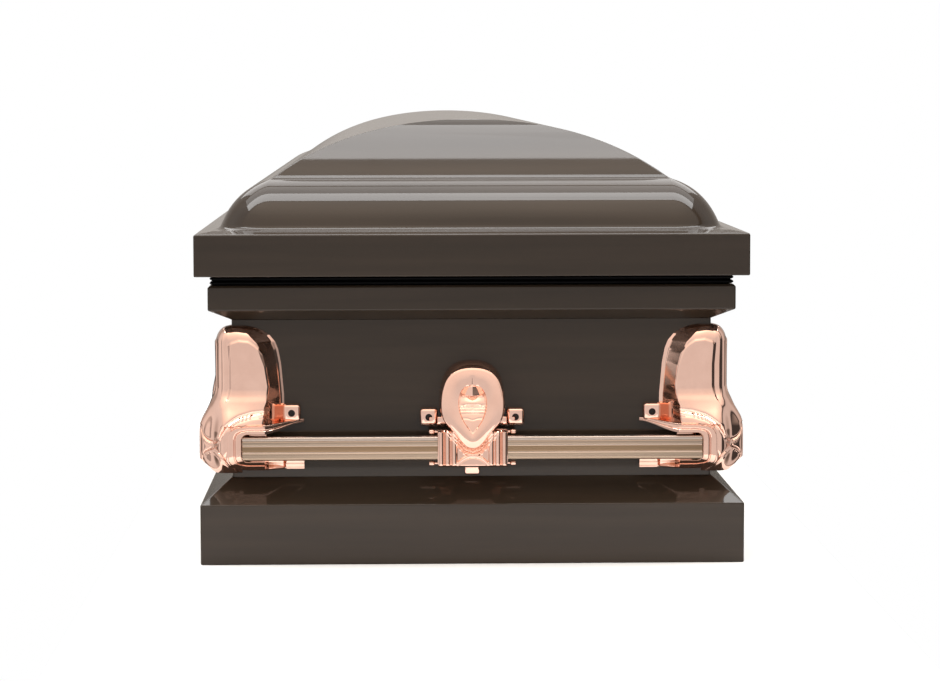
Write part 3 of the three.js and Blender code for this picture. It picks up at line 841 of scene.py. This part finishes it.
def socket_path(share):
    """Inner edge of the socket, from the end of its roof round the bar's end to the end of its floor."""
    corner = SOCKET_CORNER
    run = SOCKET_END - SOCKET_START - corner
    tall = SOCKET_ROOF - SOCKET_FLOOR - 2 * corner
    turn = math.pi / 2 * corner
    total = 2 * run + tall + 2 * turn
    way = share * total
    if way < run:
        return Vector((SOCKET_END - way, SOCKET_ROOF)), Vector((0, 1))
    way -= run
    if way < turn:
        return socket_turn(SOCKET_ROOF - corner, math.pi / 2 * (1 + way / turn))
    way -= turn
    if way < tall:
        return Vector((SOCKET_START, SOCKET_ROOF - corner - way)), Vector((-1, 0))
    way -= tall
    if way < turn:
        return socket_turn(SOCKET_FLOOR + corner, math.pi / 2 * (2 + way / turn))
    way -= turn
    return Vector((SOCKET_START + corner + way, SOCKET_FLOOR)), Vector((0, -1))


# Section of the socket's wall: share of its width outwards, share of its stand-off
SOCKET_SECTION = ((0, 0.0), (0, 0.97), (0.05, 1.0), (0.34, 1.0), (0.39, 0.985), (0.42, 0.955),
                  (0.47, 0.955), (0.50, 0.985), (0.55, 0.99), (0.80, 0.975), (0.86, 0.94), (0.92, 0.935),
                  (1, 0.90), (1, 0.0), (0, 0.0))
# Width of the socket's wall above and below the bar, and round the bar's end
SOCKET_WALL = 0.0125
SOCKET_END_WALL = 0.021
ROOF_WIDENING = 0.004
# Set-back of the lower wall at its inner and outer edge, and the recess in it between lip and tab
FLOOR_SETBACK = (0.10, 0.44)
RECESS_DEPTH = 0.75
RECESS_EDGE = (0.80, 0.86)


def socket_point(share, around, mirrored):
    edge, out = socket_path(share)
    spot = around * (len(SOCKET_SECTION) - 1)
    index = min(int(spot), len(SOCKET_SECTION) - 2)
    first, last = SOCKET_SECTION[index], SOCKET_SECTION[index + 1]
    wide = lerp(first[0], last[0], spot - index)
    deep = lerp(first[1], last[1], spot - index)
    width = lerp(SOCKET_WALL, SOCKET_END_WALL, smooth(0.3, 1.0, -out.x))
    deep *= 1 - smooth(0.2, 1.0, -out.y) * lerp(*FLOOR_SETBACK, wide)
    on_floor = out.y < -0.5
    if on_floor:
        past_lip = smooth(SOCKET_LIP_END, SOCKET_LIP_END + 0.003, edge.x)
        before_tab = 1 - smooth(SOCKET_TAB, SOCKET_TAB + 0.002, edge.x)
        deep *= 1 - RECESS_DEPTH * past_lip * before_tab * (1 - smooth(*RECESS_EDGE, wide))
    taper = smooth(SOCKET_LIP_END, SOCKET_END, edge.x) if out.y > 0.5 else 0
    flat = edge + out * lerp(width * wide, width + ROOF_WIDENING * wide, taper)
    front = through(FLOOR_FRONT if on_floor else ROOF_FRONT, flat.x)
    standoff = lerp(SOCKET_BACK, front, deep)
    if mirrored:
        return Vector((-standoff, flat.x, flat.y))
    return Vector((flat.x, -standoff, flat.y))


def socket_plate(mirrored):
    """Thin plate behind the bar's end, against the wall."""
    low = (SOCKET_START, -SOCKET_BACK - GAP, SOCKET_FLOOR - PLATE_MARGIN)
    high = (SOCKET_START + PLATE_LENGTH, -GAP, SOCKET_ROOF + PLATE_MARGIN)
    plate = rounded_block(low, high, PLATE_ROUND, segments=2)
    if mirrored:
        plate.data.transform(SWAP_X_AND_Y)
        plate.data.flip_normals()
    return plate


def make_castings(material):
    parts = [bent_grid("skin", *SKIN_STEPS, casting_skin)]
    for mirrored in (False, True):
        parts.append(bent_grid("socket", *SOCKET_STEPS, lambda s, t, m=mirrored: socket_point(s, t, m)))
    parts.append(screw_boss(CORNER_BOSS_ALONG, 0, CORNER_BOSS_Z, 0))
    parts.append(screw_boss(0, CORNER_BOSS_ALONG, CORNER_BOSS_Z, -math.pi / 2))
    for mirrored in (False, True):
        parts.append(socket_plate(mirrored))
    casting = join("corner_casting", parts)
    smooth_shading(casting, degrees=38)
    for quarter, (name, side_x, side_y) in enumerate(CORNERS):
        turn = Matrix.Rotation(quarter * math.pi / 2, 4, "Z")
        placing = Matrix.Translation((side_x * WALL_X, side_y * WALL_Y, 0)) @ turn
        copy = placed_copy(casting, f"plated_corner_{name}", placing)
        finish_piece(copy, material, "rose_plating", f"corner_casting_{name}")
    bpy.data.objects.remove(casting)


# Lugs, drawn on the front wall with the wall face as y = 0

# Right half of the lug's outline on the wall, from its top to its point
LUG_OUTLINE = ((0, 0.2605), (0.014, 0.2590), (0.0265, 0.2535), (0.0355, 0.2430), (0.0405, 0.2290),
               (0.0428, 0.2140), (0.0430, 0.2000), (0.0410, 0.1895), (0.0365, 0.1820), (0.030, 0.1750),
               (0.023, 0.1670), (0.016, 0.1588), (0.010, 0.1528), (0.005, 0.1502), (0, 0.1495))
# Right half of the dish sunk into its front
DISH_OUTLINE = ((0, 0.2305), (0.007, 0.2295), (0.0125, 0.2265), (0.0163, 0.2205), (0.0183, 0.2130),
                (0.0186, 0.2060), (0.0178, 0.1990), (0.0160, 0.1925), (0.0135, 0.1865), (0.0105, 0.1815),
                (0.0075, 0.1770), (0.0048, 0.1735), (0.0025, 0.1710), (0.0010, 0.1698), (0, 0.1693))
# The dish's half width and its depth, by height
DISH_HALF = tuple((z, x) for x, z in reversed(DISH_OUTLINE))
DISH_DEPTH = ((0.169, 0.0008), (0.186, 0.0028), (0.1935, 0.0045), (0.207, 0.0070), (0.216, 0.0085))
DISH_FOLD = 0.2160
DISH_MIDDLE_Z = 0.206
FACET_SINK = 0.0012
FACET_SLOPE = 0.50
BUD_RISE = 0.0032
BUD_HALF_WIDTH = 0.011
BUD_HALF_TALL = 0.0055
BUD_Z = 0.2080
# Fine bands below the bud: heights where they begin and end, height of a band and its pitch
BANDS_LOW = (0.1930, 0.1950)
BANDS_HIGH = (0.2045, 0.2065)
FINE_BAND_RISE = 0.00045
FINE_BAND_PITCH = 0.0036
# Sunk line below the bands, with a dip in its middle
LINE_Z = 0.1885
LINE_SINK = 0.0006
LINE_WIDTH = 0.0007
LINE_DIP = 0.0022
LINE_DIP_WIDTH = 0.005
LUG_TOP_REACH = 0.031
LUG_REACH = 0.0485
LUG_MIDDLE_Z = 0.204
# Heights between which the lug's front leans back, and the crease above its dish begins and ends
LUG_LEAN = (0.150, 0.275)
CREASE_LOW = (0.226, 0.232)
CREASE_HIGH = (0.240, 0.244)
CREASE_SINK = 0.0010
CREASE_WIDTH = 0.0014
LUG_SWELL = 0.0016
LUG_DRAFT_X = 0.05
LUG_DRAFT_Z = 0.12
LUG_ROUND = 0.005
# Shares of the way from the wall to the dish's middle where the side, the rounding and the face end
SIDE_END = 0.22
ROUND_END = 0.34
RIM_END = 0.58
# Share of the way from the front edge to the dish that the rounding takes up
ROUND_SHARE = 0.12


def outline_point(outline, around):
    """Point on a mirrored outline, smoothly through its corners; around runs once round from the top."""
    side = 1 if around <= 0.5 else -1
    spot = (around if side > 0 else 1 - around) * 2 * (len(outline) - 1)
    index = min(int(spot), len(outline) - 2)
    k = spot - index

    def corner(number):
        if number < 0:
            return Vector((-outline[-number][0], outline[-number][1]))
        if number >= len(outline):
            back = 2 * (len(outline) - 1) - number
            return Vector((-outline[back][0], outline[back][1]))
        return Vector(outline[number])

    a, b, c, d = (corner(index + step) for step in (-1, 0, 1, 2))
    square = 2 * a - 5 * b + 4 * c - d
    cube = 3 * b - a - 3 * c + d
    point = 0.5 * (2 * b + (c - a) * k + square * k ** 2 + cube * k ** 3)
    return Vector((side * point.x, point.y))


def lug_reach(z):
    return lerp(LUG_REACH, LUG_TOP_REACH, smooth(*LUG_LEAN, z))


def dish_floor(x, z):
    """Relief of the lug's dish: two facets at its top, a bud, fine bands and a plane rising to the point."""
    inside = min(through(DISH_HALF, z) - abs(x), 0.7 * (DISH_OUTLINE[0][1] - z))
    facets = smooth(DISH_FOLD - 0.0010, DISH_FOLD + 0.0012, z)
    deep = lerp(through(DISH_DEPTH, z), FACET_SINK + FACET_SLOPE * abs(x), facets)
    bud = BUD_RISE * (1 - facets) * bump(x, BUD_HALF_WIDTH) * bump(z - BUD_Z, BUD_HALF_TALL)
    banded = smooth(*BANDS_LOW, z) * (1 - smooth(*BANDS_HIGH, z))
    bands = FINE_BAND_RISE * banded * math.sin((z - BANDS_LOW[1]) / FINE_BAND_PITCH * 2 * math.pi)
    line = LINE_SINK * bump(z - LINE_Z + LINE_DIP * bump(x, LINE_DIP_WIDTH), LINE_WIDTH)
    return (bud + bands - line) * smooth(0, 0.003, inside) - deep * smooth(0, 0.0016, inside)


def lug_shield_point(around, inward):
    wall_edge = outline_point(LUG_OUTLINE, around)
    rise = max(wall_edge.y - LUG_MIDDLE_Z, 0)
    front_edge = Vector((wall_edge.x * (1 - LUG_DRAFT_X), wall_edge.y - LUG_DRAFT_Z * rise))
    dish = outline_point(DISH_OUTLINE, around)
    reach = lug_reach(front_edge.y)
    if inward < SIDE_END:
        k = inward / SIDE_END
        lean = wall_edge.lerp(front_edge, k ** 2.2)
        return Vector((lean.x, -lerp(GAP, reach - LUG_ROUND, k), lean.y))
    if inward < ROUND_END:
        turn = math.pi / 2 * (inward - SIDE_END) / (ROUND_END - SIDE_END)
        spot = front_edge.lerp(dish, ROUND_SHARE * (1 - math.cos(turn)))
        return Vector((spot.x, -(reach - LUG_ROUND * (1 - math.sin(turn))), spot.y))
    if inward < RIM_END:
        k = (inward - ROUND_END) / (RIM_END - ROUND_END)
        spot = front_edge.lerp(dish, lerp(ROUND_SHARE, 1.0, k))
        swell = LUG_SWELL * math.sin(math.pi * k)
        above_dish = smooth(*CREASE_LOW, spot.y) * (1 - smooth(*CREASE_HIGH, spot.y))
        crease = CREASE_SINK * bump(spot.x, CREASE_WIDTH) * above_dish
        return Vector((spot.x, -(lug_reach(spot.y) + swell - crease), spot.y))
    k = (inward - RIM_END) / (1 - RIM_END)
    spot = dish.lerp(Vector((0, DISH_MIDDLE_Z)), k)
    return Vector((spot.x, -(lug_reach(spot.y) + dish_floor(spot.x, spot.y)), spot.y))


CLAMP_HALF_WIDTH = 0.045
CLAMP_BACK = 0.024
CLAMP_FRONT = 0.0465
CLAMP_BOTTOM = 0.126
CLAMP_TOP = 0.173
RIB_WIDTH = 0.0085
CLAMP_RELIEF = 0.003
BAND_WIDTH = 0.0033
LOBE_TALL = 0.0165
LOBE_FALL = 27
LENS_RISE = 0.0016
LENS_DOME = 0.0020
LENS_GROOVE = 0.0008
LENS_GROOVE_INSET = 0.0042
CLAMP_ROUND = 0.003
# Upper edge of the bands below the lug's point: height by distance from the middle
V_EDGE = ((0, 0.1475), (0.010, 0.151), (0.023, 0.165), (0.037, 0.181), (0.045, 0.190))
# Distance across the bands for each unit of drop below that edge
V_SLANT = 0.72
# Shares of half the clamp's outline where its back and its end stop
BACK_END = 0.15
CLAMP_END = 0.20
LUG_BOSS_X = 0.056
LUG_BOSS_Z = 0.187
# Arm behind the clamp, link between the bosses, tab below: half width, reach, bottom, top, rounding
LUG_BLOCKS = ((0.027, 0.028, CLAMP_BOTTOM + 0.002, 0.186, 0.002),
              (LUG_BOSS_X, 0.0065, 0.1755, LUG_BOSS_Z, 0.0015),
              (0.010, 0.010, 0.1115, CLAMP_BOTTOM + 0.004, 0.003))
PEG_X = 0.0525
PEG_HEIGHTS = (0.1695, 0.129)
PEG_HALF_WIDTH = 0.004
PEG_HALF_TALL = 0.003
PEG_FRONT = 0.030
PEG_BACK = 0.022
SHANK_START = 0.040
SHANK_HALF_TALL = 0.0015
SHANK_FRONT = 0.027
SHANK_BACK = 0.0245
# Steps of the grids round and inwards over the shield, and round and up the clamp
SHIELD_STEPS = (136, 96)
CLAMP_STEPS = (190, 46)


def clamp_front(x, z):
    """Front of the clamp: ribs at each end, bands along the lug's point and a lens-shaped lobe below."""
    side = abs(x)
    ribs_start = CLAMP_HALF_WIDTH - 3 * RIB_WIDTH
    ribs = smooth(ribs_start - 0.0008, ribs_start + 0.0008, side)
    rib = math.sin(math.pi * ((CLAMP_HALF_WIDTH - side) / RIB_WIDTH % 1))
    below = (through(V_EDGE, side) - z) * V_SLANT
    bands = smooth(-0.004, 0.0, below) * (1 - smooth(2 * BAND_WIDTH - 0.0004, 2 * BAND_WIDTH, below))
    band = abs(math.sin(math.pi * below / BAND_WIDTH))
    relief = CLAMP_RELIEF * lerp(ribs * rib, band, bands * (1 - 0.6 * ribs))
    lobe = LOBE_TALL - LOBE_FALL * side ** 2 - (z - CLAMP_BOTTOM)
    dome = math.sqrt(min(max(lobe / LOBE_TALL, 0), 1))
    lens = LENS_RISE + LENS_DOME * dome - LENS_GROOVE * bump(lobe - LENS_GROOVE_INSET, LENS_GROOVE)
    relief = lerp(relief, lens, smooth(-0.0005, 0.0007, lobe))
    edge = min(z - CLAMP_BOTTOM, CLAMP_TOP - z)
    rounding = CLAMP_ROUND * (1 - smooth(0, CLAMP_ROUND, edge)) ** 2
    return CLAMP_FRONT - CLAMP_RELIEF + relief - rounding


def clamp_point(around, rise):
    """Point on the clamp: around runs once round its plan from the middle of its back."""
    z = lerp(CLAMP_BOTTOM, CLAMP_TOP, rise)
    side = 1 if around <= 0.5 else -1
    share = around if side > 0 else 1 - around
    if share <= BACK_END:
        return Vector((side * CLAMP_HALF_WIDTH * share / BACK_END, -CLAMP_BACK, z))
    if share < CLAMP_END:
        k = (share - BACK_END) / (CLAMP_END - BACK_END)
        return Vector((side * CLAMP_HALF_WIDTH, -lerp(CLAMP_BACK, clamp_front(CLAMP_HALF_WIDTH, z), k), z))
    x = side * CLAMP_HALF_WIDTH * (0.5 - share) / (0.5 - CLAMP_END)
    return Vector((x, -clamp_front(x, z), z))


def clamp_peg(side, z):
    """A pin beside the clamp: its head, and the shank that joins it to the clamp."""
    x = side * PEG_X
    head = rounded_block((x - PEG_HALF_WIDTH, -PEG_FRONT, z - PEG_HALF_TALL),
                         (x + PEG_HALF_WIDTH, -PEG_BACK, z + PEG_HALF_TALL), rounding=0.0022)
    left, right = sorted((side * SHANK_START, side * LUG_BOSS_X))
    shank = rounded_block((left, -SHANK_FRONT, z - SHANK_HALF_TALL),
                          (right, -SHANK_BACK, z + SHANK_HALF_TALL), rounding=0.001)
    return [head, shank]


def make_lugs(material):
    parts = [bent_grid("shield", *SHIELD_STEPS, lug_shield_point)]
    parts.append(bent_grid("clamp", *CLAMP_STEPS, clamp_point))
    for half, reach, bottom, top, rounding in LUG_BLOCKS:
        parts.append(rounded_block((-half, -reach, bottom), (half, -GAP, top), rounding))
    for side in (-1, 1):
        parts.append(screw_boss(side * LUG_BOSS_X, 0, LUG_BOSS_Z, 0))
        for height in PEG_HEIGHTS:
            parts.extend(clamp_peg(side, height))
    lug = join("lug", parts)
    smooth_shading(lug, degrees=40)
    for quarter, side in enumerate(SIDES):
        on_end = quarter % 2 == 0
        spacing = 0 if on_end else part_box(f"lug_{side}_3")[1].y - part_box(f"lug_{side}_2")[1].y
        names = [f"lug_{side}"] if on_end else [f"lug_{side}_{number}" for number in (1, 2, 3)]
        for number, name in enumerate(names):
            along = 0 if on_end else abs(spacing) * (number - 1)
            shift = Matrix.Translation((along, -(WALL_Y if on_end else WALL_X), 0))
            copy = placed_copy(lug, f"plated_{name}", Matrix.Rotation(quarter * math.pi / 2, 4, "Z") @ shift)
            finish_piece(copy, material, "rose_plating", name)
    bpy.data.objects.remove(lug)


# Floor, light and camera

FLOOR_HALF_X = 0.47
FLOOR_NEAR = -2.0
FLOOR_FAR = 1.22


def make_floor():
    clear_selection()
    bpy.ops.mesh.primitive_plane_add(size=2)
    floor = bpy.context.object
    floor.name = "floor"
    half_y = (FLOOR_FAR - FLOOR_NEAR) / 2
    middle = Matrix.Translation((0, FLOOR_NEAR + half_y, 0))
    floor.data.transform(middle @ Matrix.Diagonal((FLOOR_HALF_X, half_y, 1, 1)))
    material, tree, shader = new_material("pale_floor", Roughness=0.9)
    tone = two_tones(tree, object_noise(tree, scale=3), grey(0.78), grey(0.81))
    tree.links.new(tone, shader.inputs["Base Color"])
    floor.data.materials.append(material)


def add_softbox(name, place, tilt, width, depth, power):
    data = bpy.data.lights.new(name, "AREA")
    data.shape = "RECTANGLE"
    data.size = width
    data.size_y = depth
    data.energy = power
    lamp = bpy.data.objects.new(name, data)
    bpy.context.collection.objects.link(lamp)
    lamp.location = place
    lamp.rotation_euler = (math.radians(tilt), 0, 0)


# Brightness of the studio's walls by bearing: back, left, front, right and back again; the back is warm
WARM = (1.0, 0.92, 0.85)
PLAIN = (1.0, 1.0, 1.0)
STUDIO_WALLS = ((0.0, 0.46, WARM), (0.14, 0.48, WARM), (0.20, 0.85, PLAIN), (0.275, 0.95, PLAIN),
                (0.285, 0.42, PLAIN), (0.305, 0.42, PLAIN), (0.315, 0.95, PLAIN), (0.42, 0.85, PLAIN),
                (0.58, 0.85, PLAIN), (0.620, 0.82, PLAIN), (0.632, 0.06, PLAIN), (0.742, 0.06, PLAIN),
                (0.755, 0.70, PLAIN), (0.80, 0.75, PLAIN), (0.86, 0.48, WARM), (1.0, 0.46, WARM))
# Ceiling above the near end, by the upward share of the direction, and the dim ground past the far end
CEILING = ((0.60, (1.20, 1.12, 1.05)), (0.76, (1.60, 1.45, 1.30)), (0.92, (2.6, 2.3, 2.0)))
FAR_GROUND = (0.13, 0.115, 0.10, 1)
# Parts of the direction over which ceiling and ground fade in: upwards and nearwards
CEILING_UP = (0.15, 0.60)
CEILING_NEAR = (0.10, 0.18)
GROUND_UP = (0.0, -0.04)
GROUND_NEAR = (-0.3, -0.6)
BACKDROP = (1.0, 1.0, 1.0, 1)
# Softboxes: name, place, tilt in degrees, width, depth, watts
SOFTBOXES = (("overhead_softbox", (0, -0.93, 4.2), 0, 7.0, 1.16, 247),
             ("overhead_fill", (0, 0.38, 4.2), 0, 7.0, 1.45, 74),
             ("far_softbox", (0, 3.2, 4.4), -46, 7.0, 3.0, 172))


def make_light():
    """Soft studio: pale walls with two darker flags, a pale ceiling, a white backdrop and three softboxes."""
    world = bpy.data.worlds.new("studio")
    bpy.context.scene.world = world
    world.use_nodes = True
    tree = world.node_tree
    across, away, up = axes(tree, "Generated")
    near = arithmetic(tree, "MULTIPLY", away, -1)
    bearing = share_of(tree, arithmetic(tree, "ARCTAN2", across, near), -math.pi, math.pi)
    tones = [(place, [tone * part for part in tint]) for place, tone, tint in STUDIO_WALLS]
    overhead = arithmetic(
        tree, "MULTIPLY", share_of(tree, up, *CEILING_UP), share_of(tree, near, *CEILING_NEAR))
    room = blend(tree, overhead, ramp(tree, bearing, *tones), ramp(tree, up, *CEILING))
    beyond = arithmetic(
        tree, "MULTIPLY", share_of(tree, up, *GROUND_UP), share_of(tree, near, *GROUND_NEAR))
    room = blend(tree, beyond, room, FAR_GROUND)
    path = tree.nodes.new("ShaderNodeLightPath")
    seen = blend(tree, path.outputs["Is Camera Ray"], room, BACKDROP)
    background = tree.nodes["Background"]
    tree.links.new(seen, background.inputs["Color"])
    background.inputs["Strength"].default_value = 1.0
    for softbox in SOFTBOXES:
        add_softbox(*softbox)


def make_camera():
    data = bpy.data.cameras.new("camera")
    data.lens = CAMERA_LENS
    data.sensor_width = SENSOR_WIDTH
    data.clip_end = SIGHT_LIMIT
    camera = bpy.data.objects.new("camera", data)
    bpy.context.collection.objects.link(camera)
    camera.location = CAMERA_PLACE
    camera.rotation_euler = (math.pi / 2 - CAMERA_PITCH, CAMERA_ROLL, -CAMERA_YAW)
    bpy.context.scene.camera = camera
    bpy.context.scene.view_settings.view_transform = "Standard"


make_camera()
make_floor()
make_light()
paint = bronze_paint()
plating = rose_plating()
make_base(paint)
make_walls(paint)
make_body_molding(paint)
make_gasket(seal_rubber())
make_lid(paint)
make_bars(satin_bar())
make_castings(plating)
make_lugs(plating)
clear_selection()
